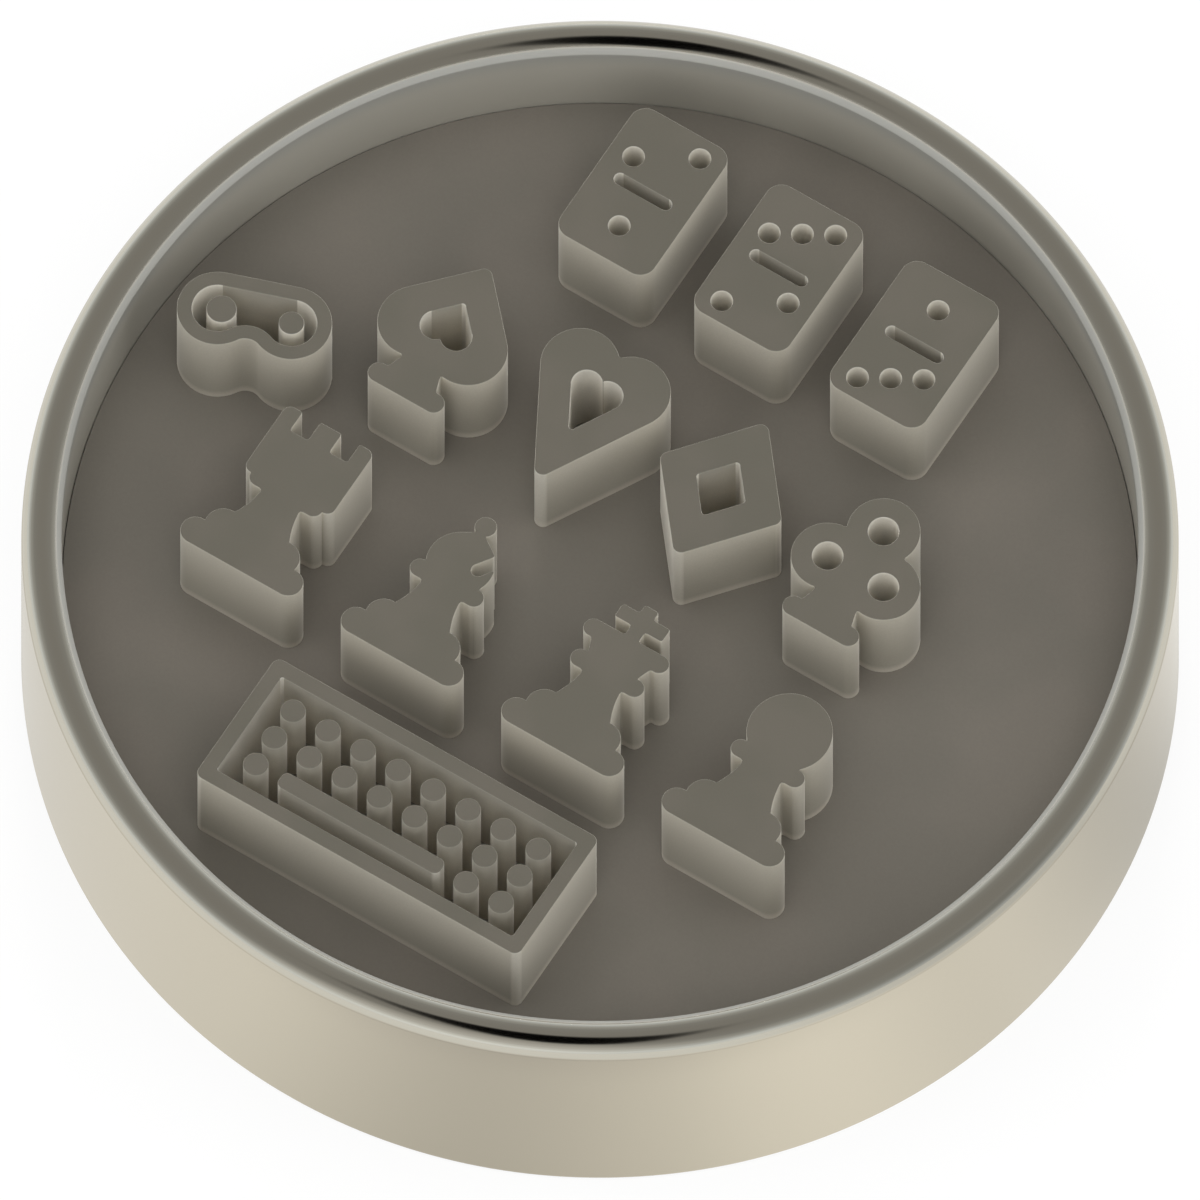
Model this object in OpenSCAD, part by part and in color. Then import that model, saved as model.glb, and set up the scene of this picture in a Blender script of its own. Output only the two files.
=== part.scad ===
// Round game token: a turned metal case with a matte disc let into its face.
// Dominoes, card suits, chess pieces, a gamepad and a keyboard stand on the disc.
// Each is let into a pocket of its own outline, and their tops are flush with the rim.
// The origin is the middle of the flat back, +Z points out of the face, and +X runs
// along the rows.

/* [Case] */
// Outside diameter of the case
case_d = 40; // [32:0.5:60]
// Thickness from the flat back to the top of the rim
case_h = 10; // [8:0.25:12]
// Width of the rim, whose top is a full round
rim_w = 1.4; // [1.2:0.1:1.7]
// Height of the relief above the disc
relief_h = 4.1; // [3:0.1:4.5]
// Radius that breaks the edge of the back
back_edge_r = 0.25; // [0.1:0.05:0.5]

/* [Face disc] */
// Thickness of the disc
disc_t = 1.5; // [1.2:0.1:2]
// Depth to which each raised piece is let into the disc
seat_depth = 0.7; // [0.4:0.1:1]
// Radial clearance between the disc and the bore of the case
disc_clearance = 0.03; // [0.02:0.01:0.1]
// Margin between the bore and the corner of the relief that reaches farthest out
field_margin = 1.38; // [0.9:0.02:2]

/* [Rows] */
// Gap between the keyboard and the chess row
keyboard_gap = 2.1; // [1:0.1:4]
// Gap between the chess row and the suit row
chess_gap = 2.3; // [1.9:0.1:4]
// Gap between the suit row and the domino row
suit_gap = 2.5; // [1:0.1:4]
// Sideways place of the rows
row_shift = -0.2; // [-2:0.1:2]
// Upward place of the rows and the keyboard
stack_shift = -0.25; // [-1:0.05:1]

/* [Dominoes] */
// Width of a domino
domino_w = 3.8; // [3.4:0.1:5]
// Height of a domino
domino_h = 5.7; // [5.2:0.1:7]
// Corner radius of a domino
domino_corner_r = 0.6; // [0.3:0.1:0.8]
// Space between two dominoes
domino_space = 1.7; // [0.8:0.1:3]
// Diameter of a pip
pip_d = 0.76; // [0.6:0.02:0.84]
// Width of the slot between the halves
divider_w = 0.44; // [0.3:0.02:0.6]

/* [Card suits] */
// Width of a suit
suit_w = 4.8; // [4:0.1:6]
// Height of a suit
suit_h = 5.7; // [5.2:0.1:7]
// Space between two suits
suit_space = 0.8; // [0.4:0.05:2]
// Radius of the points of the heart, spade and diamond
point_r = 0.3; // [0.2:0.05:0.5]
// Thickness of the foot under the spade and the club
stem_foot_t = 0.76; // [0.6:0.02:0.9]

/* [Chess pieces] */
// Width of a chess piece across its foot
chess_w = 4.8; // [4.4:0.1:5.6]
// Height of a chess piece
chess_h = 6.3; // [5.8:0.1:7.5]
// Space between two chess pieces
chess_space = 1.7; // [1.2:0.1:2]
// Thickness of the foot
foot_t = 1.04; // [0.8:0.02:1.2]
// Thickness of the plinth above the foot
plinth_t = 0.8; // [0.6:0.02:0.9]
// Thickness of the collar under the head
collar_t = 0.7; // [0.5:0.02:0.8]
// Thickness of the bars of the king's cross
cross_t = 0.56; // [0.4:0.02:0.7]
// Width of the slit in the bishop's mitre
slit_w = 0.46; // [0.3:0.02:0.6]

/* [Gamepad] */
// Radius of the two grips
grip_r = 1.4; // [1.3:0.05:1.5]
// Distance between the middles of the grips
grip_span = 2.6; // [2.4:0.05:2.8]
// Radius of the hollow between the grips
notch_r = 0.6; // [0.5:0.05:0.8]
// Wall of the gamepad frame
gamepad_wall = 0.52; // [0.4:0.02:0.6]
// Diameter of the left stick
left_stick_d = 1.04; // [0.8:0.02:1.2]
// Distance from the middle of the left grip in to its stick
left_stick_inset = 0.14; // [0.02:0.02:0.2]
// Diameter of the right stick
right_stick_d = 0.88; // [0.7:0.02:1]
// Tilt of the gamepad
gamepad_tilt = 19.5; // [10:0.5:30]
// Gap between the gamepad and the end of the suit row
gamepad_gap = 0.85; // [0.5:0.05:2]
// Distance from the middle of the suit row down to the gamepad
gamepad_drop = 2.9; // [2.6:0.1:3.2]

/* [Keyboard] */
// Diameter of a key
key_d = 0.88; // [0.8:0.02:1.06]
// Distance between two keys of a row
key_pitch = 1.42; // [1.3:0.02:1.5]
// Distance between two rows of keys
key_row_pitch = 1.2; // [1.14:0.02:1.3]
// Margin between the keys and the long walls of the frame
key_margin = 0.46; // [0.4:0.02:0.6]
// Margin between the keys and the short walls of the frame
key_end_margin = 0.58; // [0.4:0.02:0.7]
// Wall of the keyboard frame
keyboard_wall = 0.56; // [0.4:0.02:0.7]
// Outer corner radius of the keyboard frame
keyboard_corner_r = 0.3; // [0.2:0.05:0.5]
// Inner corner radius of the keyboard frame
tray_corner_r = 0.1; // [0.05:0.05:0.3]
// Width of the space bar
bar_w = 0.64; // [0.6:0.02:0.96]
// Corner radius of the space bar
bar_corner_r = 0.24; // [0.1:0.02:0.28]
// Sideways place of the keyboard
keyboard_shift = -0.35; // [-2:0.05:2]

/* [Hidden] */
$fn = 96;
// Overrun that takes every cut clear through
overrun = 0.5;
// Share of a round's radius by which a flank runs inside it, so that the two cross cleanly
tuck_share = 0.002;

metal_bright = [0.80, 0.77, 0.70];
metal_field = [0.40, 0.38, 0.34];
metal_relief = [0.46, 0.44, 0.40];

// Case and disc: the bore, the full round of the rim, and the levels of floor and field
case_r = case_d / 2;
bore_r = case_r - rim_w;
lip_r = rim_w / 2;
field_z = case_h - relief_h;
floor_z = field_z - disc_t;

// Figures in each row
domino_count = 3;
suit_count = 4;
chess_count = 4;

// Dominoes: places of the pips from the middle of their half
pip_reach_shares = [0.26, 0.1];
divider_share = 0.6;

// Card suits: lobes and leaves follow the width, rises follow the height
lobe_share = 0.285;
window_share = 0.4;
window_rise_share = 0.36;
spade_leaf_share = 0.76;
neck_share = 0.2;
neck_rise_share = 0.14;
stem_share = 0.62;
leaf_share = 0.265;
leaf_rise_share = 0.46;
leaf_hole_share = 0.42;

// Chess pieces: widths follow the foot, rises follow the height
plinth_share = 0.76;
body_shares = [0.56, 0.32];
flank_share = 0.5;
collar_share = 0.6;
neck_line_share = 0.54;
rook_head_share = 0.74;
crenel_shares = [0.15, 0.13];
crenel_place_share = 0.165;
mitre_share = 0.5;
mitre_rise_share = 0.68;
mitre_tip_share = 0.03;
ball_share = 0.08;
slit_share = 0.36;
slit_reach_share = 0.21;
slit_tilt = 55;
crown_shares = [0.36, 0.7];
crown_rise_share = 0.79;
arm_share = 0.4;
arm_rise_share = 0.9;
pawn_head_share = 0.62;

// Keyboard: eight columns in three rows, with the space bar across five columns of the last
key_columns = 8;
key_row_names = ["top", "middle", "bottom"];
key_rows = len(key_row_names);
bar_columns = [1, 5];
keys_w = (key_columns - 1) * key_pitch + key_d;
keys_h = (key_rows - 1) * key_row_pitch + key_d;
tray_w = keys_w + 2 * key_end_margin;
tray_h = keys_h + 2 * key_margin;
keyboard_w = tray_w + 2 * keyboard_wall;
keyboard_h = tray_h + 2 * keyboard_wall;
bar_length = (bar_columns[1] - bar_columns[0]) * key_pitch + key_d;
keys = [
    for (row = [0 : key_rows - 1], column = [0 : key_columns - 1])
        if (row < key_rows - 1 || column < bar_columns[0] || column > bar_columns[1])
            [column, row]
];

// The rows and the keyboard are stacked about a level near the middle of the case
stack_h = domino_h + suit_gap + suit_h + chess_gap + chess_h + keyboard_gap + keyboard_h;
keyboard_y = stack_shift + (keyboard_h - stack_h) / 2;
chess_y = keyboard_y + keyboard_h / 2 + keyboard_gap;
suit_y = chess_y + chess_h + chess_gap;
domino_y = suit_y + suit_h + suit_gap + domino_h / 2;

// The gamepad stands beside the lower left of the suit row
gamepad_reach = grip_r + grip_span / 2 * cos(gamepad_tilt);
gamepad_x = in_row(0, suit_count, suit_w, suit_space) - suit_w / 2 - gamepad_gap - gamepad_reach;
gamepad_y = suit_y + suit_h / 2 - gamepad_drop;

// The relief is laid out in its own sizes and fitted to the field by the share that brings
// its farthest corner to field_margin from the bore
function relief_reach() = max(
    row_reach(domino_count, domino_w, domino_space, domino_y + domino_h / 2),
    row_reach(suit_count, suit_w, suit_space, suit_y + suit_h),
    row_reach(chess_count, chess_w, chess_space, chess_y),
    norm([abs(keyboard_shift) + keyboard_w / 2, keyboard_y - keyboard_h / 2]),
    norm([gamepad_x, gamepad_y] - grip_span / 2 * heading(gamepad_tilt)) + grip_r
);
relief_share = (bore_r - field_margin) / relief_reach();

function key_name(key) = str("key_", key_row_names[key[1]], "_", key[0] + 1);

function heading(angle) = [cos(angle), sin(angle)];

// Middle of one of several equal figures side by side, about the row's own middle
function in_row(i, count, w, space) = row_shift + (i - (count - 1) / 2) * (w + space);

// Distance from the middle of the case to the far corner of a row, on its outer edge y
function row_reach(count, w, space, y) =
    norm([abs(row_shift) + (count * (w + space) - space) / 2, y]);

// Middle of the circle of radius r through p and q, on the right of the way from p to q
function arc_middle(p, q, r) = let (
    half = (q - p) / 2,
    away = sqrt(pow(r, 2) - pow(norm(half), 2)) / norm(half)
) p + half + away * [half.y, -half.x];

// Two round ends joined by their outer tangents
module tapered_bar(start, start_r, end, end_r) {
    run = end - start;
    run_angle = atan2(run.y, run.x);
    lean = acos((start_r - end_r) / norm(run));
    left = (1 - tuck_share) * heading(run_angle + lean);
    right = (1 - tuck_share) * heading(run_angle - lean);
    translate(start) circle(r = start_r);
    translate(end) circle(r = end_r);
    polygon([
        start + start_r * right,
        end + end_r * right,
        end + end_r * left,
        start + start_r * left
    ]);
}

// Level bar with round ends, its lower edge on the line y
module round_bar(w, t, y) {
    reach = (w - t) / 2;
    tapered_bar([-reach, y + t / 2], t / 2, [reach, y + t / 2], t / 2);
}

// Rectangle with round corners, about its middle
module rounded_block(w, h, r) {
    square([w - 2 * r, h], center = true);
    square([w, h - 2 * r], center = true);
    for (x = [-1, 1], y = [-1, 1])
        translate([x * (w / 2 - r), y * (h / 2 - r)]) circle(r = r);
}

// An outline as a raised piece, from the bottom of its seat to the rim, or as its pocket
module let_in(pocket) {
    color(metal_relief) translate([0, 0, field_z - seat_depth])
        linear_extrude(seat_depth + (pocket ? overrun : relief_h)) scale(relief_share) children();
}

// Turned cup with a flat back and a rim whose top is a full round
module rim_case() {
    color(metal_bright) rotate_extrude() {
        square([case_r - back_edge_r, floor_z]);
        translate([0, back_edge_r]) square([case_r, floor_z - back_edge_r]);
        translate([case_r - back_edge_r, back_edge_r]) circle(r = back_edge_r);
        translate([bore_r, back_edge_r]) square([rim_w, case_h - lip_r - back_edge_r]);
        translate([case_r - lip_r, case_h - lip_r]) circle(r = lip_r);
    }
}

// Matte disc on the floor of the case, with a pocket for each raised piece
module face_disc() {
    color(metal_field) difference() {
        translate([0, 0, floor_z]) cylinder(r = bore_r - disc_clearance, h = disc_t);
        relief(pocket = true);
    }
}

// Places of one, two or three pips on a half of a domino
function pip_places(count) = let (
    corner = [domino_w * pip_reach_shares.x, domino_h * pip_reach_shares.y]
) [
    if (count != 2) [0, 0],
    if (count > 1) corner,
    if (count > 1) -corner
];

// Upright domino with a slot between its halves and pips through to the disc
module domino(i, upper, lower) {
    translate([in_row(i, domino_count, domino_w, domino_space), domino_y]) difference() {
        rounded_block(domino_w, domino_h, domino_corner_r);
        round_bar(domino_w * divider_share, divider_w, -divider_w / 2);
        for (half = [[1, upper], [-1, lower]], place = pip_places(half[1]))
            translate([0, half[0] * (domino_h + divider_w) / 4] + place) circle(d = pip_d);
    }
}

module domino_left(pocket = false) { let_in(pocket) domino(0, 2, 1); }

module domino_middle(pocket = false) { let_in(pocket) domino(1, 3, 2); }

module domino_right(pocket = false) { let_in(pocket) domino(2, 1, 3); }

module in_suit_row(i) {
    translate([in_row(i, suit_count, suit_w, suit_space), suit_y]) children();
}

// Heart of a given width and height, its point at the origin
module heart(w, h, tip_r) {
    lobe_r = w * lobe_share;
    lobe = [w / 2 - lobe_r, h - lobe_r];
    tip = [0, tip_r];
    for (side = [1, -1])
        tapered_bar(tip, tip_r, [side * lobe.x, lobe.y], lobe_r);
    polygon([tip, lobe, [-lobe.x, lobe.y]]);
}

// Upright rhombus with round points, about its middle
module rhombus(w, h, tip_r) {
    tips = [
        [w / 2 - tip_r, 0],
        [0, h / 2 - tip_r],
        [tip_r - w / 2, 0],
        [0, tip_r - h / 2]
    ];
    polygon(tips);
    for (i = [0 : 3])
        tapered_bar(tips[i], tip_r, tips[(i + 1) % 4], tip_r);
}

// Foot of the spade and the club: a round bar and a neck that narrows up to neck_top
module stem(neck_top) {
    stem_w = suit_w * stem_share;
    neck_w = suit_w * neck_share;
    round_bar(stem_w, stem_foot_t, 0);
    polygon([
        [(stem_foot_t - stem_w) / 2, stem_foot_t / 2],
        [(stem_w - stem_foot_t) / 2, stem_foot_t / 2],
        [neck_w / 2, neck_top],
        [-neck_w / 2, neck_top]
    ]);
}

module suit_spade(pocket = false) {
    leaf_h = suit_h * spade_leaf_share;
    let_in(pocket) in_suit_row(0) {
        difference() {
            translate([0, suit_h]) rotate(180) heart(suit_w, leaf_h, point_r);
            translate([0, suit_h - leaf_h * window_rise_share]) rotate(180)
                heart(suit_w * window_share, leaf_h * window_share, point_r * window_share);
        }
        stem(suit_h - leaf_h + suit_h * neck_rise_share);
    }
}

module suit_heart(pocket = false) {
    let_in(pocket) in_suit_row(1) difference() {
        heart(suit_w, suit_h, point_r);
        translate([0, suit_h * window_rise_share])
            heart(suit_w * window_share, suit_h * window_share, point_r * window_share);
    }
}

module suit_diamond(pocket = false) {
    let_in(pocket) in_suit_row(2) translate([0, suit_h / 2]) difference() {
        rhombus(suit_w, suit_h, point_r);
        rhombus(suit_w * window_share, suit_h * window_share, point_r * window_share);
    }
}

module suit_club(pocket = false) {
    leaf_r = suit_w * leaf_share;
    side = [suit_w / 2 - leaf_r, suit_h * leaf_rise_share];
    leaves = [side, [0, suit_h - leaf_r], [-side.x, side.y]];
    let_in(pocket) in_suit_row(3) difference() {
        union() {
            for (leaf = leaves)
                translate(leaf) circle(r = leaf_r);
            polygon(leaves);
            stem(side.y);
        }
        for (leaf = leaves)
            translate(leaf) circle(r = leaf_r * leaf_hole_share);
    }
}

module in_chess_row(i) {
    translate([in_row(i, chess_count, chess_w, chess_space), chess_y]) children();
}

// Foot, plinth, hollow-sided body and collar that the chess pieces share
module chess_body() {
    low = [chess_w * body_shares[0] / 2, foot_t + plinth_t / 2];
    high = [chess_w * body_shares[1] / 2, chess_h * neck_line_share];
    flank_r = chess_h * flank_share;
    flank = arc_middle(low, high, flank_r);
    round_bar(chess_w, foot_t, 0);
    round_bar(chess_w * plinth_share, plinth_t + foot_t / 2, foot_t / 2);
    round_bar(chess_w * collar_share, collar_t, high.y - collar_t / 2);
    difference() {
        polygon([
            [-low.x, foot_t / 2],
            [low.x, foot_t / 2],
            low,
            high,
            [-high.x, high.y],
            [-low.x, low.y]
        ]);
        for (side = [1, -1])
            translate([side * flank.x, flank.y]) circle(r = flank_r);
    }
}

module chess_rook(pocket = false) {
    head_y = chess_h * neck_line_share;
    head_h = chess_h - head_y;
    head_w = chess_w * rook_head_share;
    crenel = [chess_w * crenel_shares.x, 2 * chess_h * crenel_shares.y];
    let_in(pocket) in_chess_row(0) {
        chess_body();
        translate([0, head_y + head_h / 2]) difference() {
            rounded_block(head_w, head_h, point_r);
            for (side = [1, -1])
                translate([side * chess_w * crenel_place_share, head_h / 2]) square(crenel, center = true);
        }
    }
}

module chess_bishop(pocket = false) {
    mitre_r = chess_w * mitre_share / 2;
    mitre = [0, chess_h * mitre_rise_share];
    ball_r = chess_w * ball_share;
    let_in(pocket) in_chess_row(1) {
        chess_body();
        translate([0, chess_h - ball_r]) circle(r = ball_r);
        difference() {
            tapered_bar(mitre, mitre_r, [0, chess_h - 2 * ball_r], chess_w * mitre_tip_share);
            translate(mitre + [chess_w * slit_reach_share, mitre_r / 2]) rotate(slit_tilt)
                round_bar(chess_w * slit_share, slit_w, -slit_w / 2);
        }
    }
}

module chess_king(pocket = false) {
    crown = [chess_w * crown_shares[0] / 2, chess_h * neck_line_share];
    brim = [chess_w * crown_shares[1] / 2, chess_h * crown_rise_share];
    let_in(pocket) in_chess_row(2) {
        chess_body();
        polygon([
            [-crown.x, crown.y],
            crown,
            [brim.x - collar_t / 2, brim.y - collar_t / 2],
            [collar_t / 2 - brim.x, brim.y - collar_t / 2]
        ]);
        round_bar(2 * brim.x, collar_t, brim.y - collar_t);
        translate([0, (brim.y + chess_h - cross_t) / 2])
            square([cross_t, chess_h - brim.y + cross_t], center = true);
        translate([0, chess_h * arm_rise_share])
            square([chess_w * arm_share, cross_t], center = true);
    }
}

module chess_pawn(pocket = false) {
    head_r = chess_w * pawn_head_share / 2;
    let_in(pocket) in_chess_row(3) {
        chess_body();
        translate([0, chess_h - head_r]) circle(r = head_r);
    }
}

module in_gamepad() {
    translate([gamepad_x, gamepad_y]) rotate(gamepad_tilt) children();
}

// Two grips with a straight top and, between them, a hollow that runs smoothly into both
module grips(inset) {
    r = grip_r - inset;
    top = r * (1 - tuck_share);
    hollow_y = sqrt(pow(grip_r + notch_r, 2) - pow(grip_span / 2, 2));
    hollow_r = (notch_r + inset) * (1 + tuck_share);
    join = [grip_span / 2, 0] - r / (grip_r + notch_r) * [grip_span / 2, hollow_y];
    difference() {
        union() {
            for (side = [1, -1])
                translate([side * grip_span / 2, 0]) circle(r = r);
            polygon([
                [-grip_span / 2, top],
                [-grip_span / 2, 0],
                [-join.x, join.y],
                join,
                [grip_span / 2, 0],
                [grip_span / 2, top]
            ]);
        }
        translate([0, -hollow_y]) circle(r = hollow_r);
    }
}

module gamepad_frame(pocket = false) {
    let_in(pocket) in_gamepad() difference() {
        grips(0);
        grips(gamepad_wall);
    }
}

module gamepad_left_stick(pocket = false) {
    let_in(pocket) in_gamepad() translate([left_stick_inset - grip_span / 2, 0]) circle(d = left_stick_d);
}

module gamepad_right_stick(pocket = false) {
    let_in(pocket) in_gamepad() translate([grip_span / 2, 0]) circle(d = right_stick_d);
}

// Place of a key on the disc
function key_place(column, row) = [
    keyboard_shift + (column - (key_columns - 1) / 2) * key_pitch,
    keyboard_y + ((key_rows - 1) / 2 - row) * key_row_pitch
];

module keyboard_frame(pocket = false) {
    let_in(pocket) translate([keyboard_shift, keyboard_y]) difference() {
        rounded_block(keyboard_w, keyboard_h, keyboard_corner_r);
        rounded_block(tray_w, tray_h, tray_corner_r);
    }
}

module space_bar(pocket = false) {
    let_in(pocket) translate(key_place((bar_columns[0] + bar_columns[1]) / 2, key_rows - 1))
        rounded_block(bar_length, bar_w, bar_corner_r);
}

module key_post(key, pocket = false) {
    let_in(pocket) translate(key_place(key[0], key[1])) circle(d = key_d);
}

// Everything that is let into the disc
module relief(pocket) {
    domino_left(pocket);
    domino_middle(pocket);
    domino_right(pocket);
    suit_spade(pocket);
    suit_heart(pocket);
    suit_diamond(pocket);
    suit_club(pocket);
    chess_rook(pocket);
    chess_bishop(pocket);
    chess_king(pocket);
    chess_pawn(pocket);
    gamepad_frame(pocket);
    gamepad_left_stick(pocket);
    gamepad_right_stick(pocket);
    keyboard_frame(pocket);
    space_bar(pocket);
    for (key = keys)
        key_post(key, pocket);
}

rim_case();
face_disc();
domino_left();
domino_middle();
domino_right();
suit_spade();
suit_heart();
suit_diamond();
suit_club();
chess_rook();
chess_bishop();
chess_king();
chess_pawn();
gamepad_frame();
gamepad_left_stick();
gamepad_right_stick();
keyboard_frame();
space_bar();
for (key = keys)
    key_post(key);
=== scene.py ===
from math import asin, cos, pi, radians, sin

import bmesh
import bpy
import numpy as np
from bpy.props import FloatProperty, FloatVectorProperty, IntProperty, PointerProperty
from mathutils import Matrix, Vector


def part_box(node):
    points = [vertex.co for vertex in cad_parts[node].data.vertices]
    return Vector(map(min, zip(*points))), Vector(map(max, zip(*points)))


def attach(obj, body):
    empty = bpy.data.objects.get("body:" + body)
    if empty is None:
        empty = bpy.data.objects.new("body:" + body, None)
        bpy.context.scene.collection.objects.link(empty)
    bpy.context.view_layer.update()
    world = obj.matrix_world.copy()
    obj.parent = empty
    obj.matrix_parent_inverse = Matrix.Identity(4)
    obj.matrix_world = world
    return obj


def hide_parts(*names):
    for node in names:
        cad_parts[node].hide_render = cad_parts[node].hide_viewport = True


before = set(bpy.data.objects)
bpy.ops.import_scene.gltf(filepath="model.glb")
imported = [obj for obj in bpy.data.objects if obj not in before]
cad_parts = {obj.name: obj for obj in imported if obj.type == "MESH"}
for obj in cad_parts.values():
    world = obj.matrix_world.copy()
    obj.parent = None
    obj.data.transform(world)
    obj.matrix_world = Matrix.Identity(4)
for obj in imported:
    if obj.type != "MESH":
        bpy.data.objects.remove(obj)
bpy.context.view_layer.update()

bl_info = {
    "name": "Game Token",
    "version": (1, 0, 0),
    "blender": (4, 5, 0),
    "location": "3D View > Sidebar > Token",
    "description": "Dresses a round game token: bright turned case, matte face disc and satin relief",
    "category": "Object",
}

MM = 0.001
TINY = 1e-12

# Levels and radii that the pieces share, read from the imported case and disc
CASE_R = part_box("rim_case")[1][0]
CASE_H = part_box("rim_case")[1][2]
DISC_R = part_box("face_disc")[1][0]
FLOOR_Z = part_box("face_disc")[0][2]
FIELD_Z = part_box("face_disc")[1][2]

DOMINOES = ("domino_left", "domino_middle", "domino_right")
SUITS = ("suit_spade", "suit_heart", "suit_diamond", "suit_club")
CHESS_PIECES = ("chess_rook", "chess_bishop", "chess_king", "chess_pawn")
GAMEPAD = ("gamepad_frame", "gamepad_left_stick", "gamepad_right_stick")
KEYS = tuple(sorted(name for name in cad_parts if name.startswith("key_")))
KEYBOARD = ("keyboard_frame", "space_bar") + KEYS

# Pieces that stand inside the keyboard's tray, whose walls take painted light low down, and posts that are
# painted bright all round
SHELTERED = KEYBOARD[1:]
# Posts painted bright all round: a painted reflection on their walls
BRIGHT_PAINTED_POSTS = GAMEPAD[1:]

# Points that ease each corner of an outline
EASE_POINTS = 3

# Soft lights: bearing from the camera and height in degrees, width in metres, power in watts
LIGHTS = (
    ("front_light", 0, 45, 0.30, 0.57),
    ("right_light", 75, 30, 0.26, 0.42),
    ("left_light", -80, 35, 0.26, 0.30),
    ("back_light", 180, 10, 0.12, 1.30),
    ("top_light", 0, 90, 0.40, 0.75),
)


def size_prop(name, description, default):
    """A length in metres that a user can change."""
    return FloatProperty(
        name=name, description=description, default=default, min=0.0, precision=5,
        subtype="DISTANCE", unit="LENGTH",
    )


def share_prop(name, description, default):
    """A share from 0 to 1 that a user can change."""
    return FloatProperty(
        name=name, description=description, default=default, min=0.0, max=1.0, subtype="FACTOR",
    )


def colour_prop(name, description, default):
    """A colour that a user can change."""
    return FloatVectorProperty(
        name=name, description=description, default=default, size=3, min=0.0, max=1.0,
        subtype="COLOR",
    )


class TokenSizes(bpy.types.PropertyGroup):
    """Sizes of the edges and how finely the surfaces are drawn"""

    disc_clearance: size_prop("Disc clearance", "Radial gap between the disc and the bore", 0.03 * MM)
    rim_inner_r: size_prop("Rim, inner half", "Radius of the inner half of the rim", 0.85 * MM)
    bore_edge: size_prop("Bore edge", "Radius where the rim turns down into the bore", 0.10 * MM)
    back_edge: size_prop("Back edge", "Radius that breaks the edge of the back", 0.25 * MM)
    top_edge: size_prop("Top edge", "Radius along the top edges of the relief", 0.05 * MM)
    corner: size_prop("Corner", "Length over which an upright corner of the relief is eased", 0.10 * MM)
    turns: IntProperty(
        name="Turns", description="Divisions round the case", default=288, min=48,
    )
    edge_steps: IntProperty(
        name="Edge steps", description="Divisions across a top edge of the relief", default=4, min=1,
    )


class TokenFinish(bpy.types.PropertyGroup):
    """Colours and gloss of the three metals"""

    case: colour_prop("Case", "Bright nickel of the case", (0.62, 0.575, 0.475))
    case_roughness: share_prop("Case roughness", "Roughness of the polished case", 0.11)
    lip: colour_prop("Lip", "Satin slope from the rim into the bore", (0.315, 0.309, 0.281))
    bore: colour_prop("Bore", "Satin wall of the bore", (0.375, 0.357, 0.309))
    bore_roughness: share_prop("Bore roughness", "Roughness of the bore", 0.45)
    field: colour_prop("Field", "Matte metal of the face disc", (0.175, 0.160, 0.134))
    field_tint: colour_prop("Field tint", "Clouds in the metal of the face disc", (0.190, 0.171, 0.144))
    field_roughness: share_prop("Field roughness", "Roughness of the face disc", 0.62)
    top: colour_prop("Relief top", "Satin tops of the relief", (0.127, 0.1165, 0.0915))
    top_tint: colour_prop("Relief tint", "Clouds in the tops of the relief", (0.137, 0.1235, 0.0985))
    # Painted reflection: walls lighter than the tops of the same metal, near their top edge
    wall_light: colour_prop("Wall, upper", "Walls of the relief near their top", (0.55, 0.511, 0.425))
    # Painted shade: walls darker towards the field
    wall_dark: colour_prop("Wall, lower", "Darkened lower half of the walls", (0.37, 0.343, 0.285))
    # Painted light: a light line at the foot of the walls
    wall_foot: colour_prop("Wall foot", "Light line at the foot of the walls", (0.56, 0.52, 0.445))
    # Painted light: walls in a tray or a hole made lighter low down, against the shade there
    shelter_light: colour_prop("Sheltered, lower", "Foot of walls in a tray or a hole", (0.72, 0.67, 0.56))
    shelter_dark: colour_prop("Sheltered, upper", "Top of walls in a tray or a hole", (0.34, 0.316, 0.263))
    # Painted highlight on upright corners and painted reflection on hollow curves and posts, not wear
    edge: colour_prop("Bright finish", "Worn corners, hollow curves and posts", (0.74, 0.704, 0.622))
    relief_roughness: share_prop("Relief roughness", "Roughness of the relief", 0.5)


class TokenStage(bpy.types.PropertyGroup):
    """Camera, floor and light"""

    azimuth: FloatProperty(
        name="Azimuth", description="Turn of the camera about the token",
        default=radians(32.1), subtype="ANGLE",
    )
    elevation: FloatProperty(
        name="Elevation", description="Height of the camera above the horizon",
        default=radians(63.8), subtype="ANGLE",
    )
    view_width: size_prop("View width", "Width that the camera takes in", 41.465 * MM)
    aim_height: size_prop("Aim height", "Height of the point that the camera looks at", 4.766 * MM)
    floor: colour_prop("Floor", "Pale studio floor", (0.86, 0.86, 0.85))
    floor_radius: size_prop("Floor radius", "Radius of the studio floor", 900 * MM)


def new_piece(name, vertices, faces, normals=None):
    """A mesh object at the origin from arrays of places and faces, shaded smooth by its own normals."""
    mesh = bpy.data.meshes.new(name)
    mesh.from_pydata(vertices.tolist(), [], faces)
    mesh.shade_smooth()
    if normals is not None:
        mesh.normals_split_custom_set_from_vertices(normals.tolist())
    piece = bpy.data.objects.new(name, mesh)
    bpy.context.scene.collection.objects.link(piece)
    return piece


def dress(piece, node, material):
    """Rides a finished piece on the token, in place of its solid."""
    piece.data.materials.append(material)
    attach(piece, "root")
    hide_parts(node)


def arc(middle, radius, start, end, steps):
    """Points (r, z) and normals of a profile's arc: middle + radius * (cos, sin) of evenly spaced angles."""
    angles = np.linspace(start, end, steps + 1)
    normals = np.stack([np.cos(angles), np.sin(angles)], axis=1)
    return middle + radius * normals, normals


def straight(start, end, steps):
    """Points (r, z) evenly spaced from start to end, and the normals on the right of that way."""
    start, end = np.array(start), np.array(end)
    along = (end - start) / np.linalg.norm(end - start)
    points = start + np.linspace(0.0, 1.0, steps + 1)[:, None] * (end - start)
    return points, np.tile([along[1], -along[0]], (steps + 1, 1))


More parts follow.
